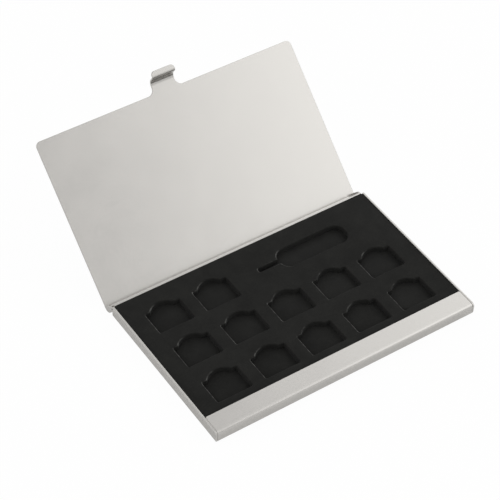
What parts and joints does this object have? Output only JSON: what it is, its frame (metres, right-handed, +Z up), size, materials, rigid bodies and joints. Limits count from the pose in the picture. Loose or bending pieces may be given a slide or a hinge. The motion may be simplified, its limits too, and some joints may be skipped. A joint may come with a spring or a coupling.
{
  "type": "memory card case",
  "caption": "Slim pocket case of folded aluminium sheet with a hinged lid, a finger tongue and a black foam insert with recesses for small memory cards and a tray pin.",
  "frame": {"origin": "centre of the tray's flat underside", "axes": "+X along the hinge, +Y towards the hinge side, +Z up out of the tray"},
  "size_m": [0.0966, 0.1078, 0.0453],
  "materials": {
    "tray_metal": "fine satin anodised",
    "lid_metal": "fine satin anodised",
    "pin_metal": "plain drawn wire",
    "pocket_foam": "matt closed-cell foam, die-cut",
    "backing_foam": "matt closed-cell foam",
    "adhesive": "thin double-sided film"
  },
  "bodies": {
    "tray": {"base_tray": "tray_metal", "pocket_foam": "pocket_foam", "backing_foam": "backing_foam", "adhesive_sheet": "adhesive"},
    "lid": {"lid": "lid_metal", "hinge_pin_left": "pin_metal", "hinge_pin_right": "pin_metal"}
  },
  "joints": [
    {"name": "lid_hinge", "type": "hinge", "parent": "tray", "child": "lid", "pos_m": [0, 0.0307, 0.00185], "axis": [1, 0, 0], "range_deg": [0, 138.2]}
  ]
}
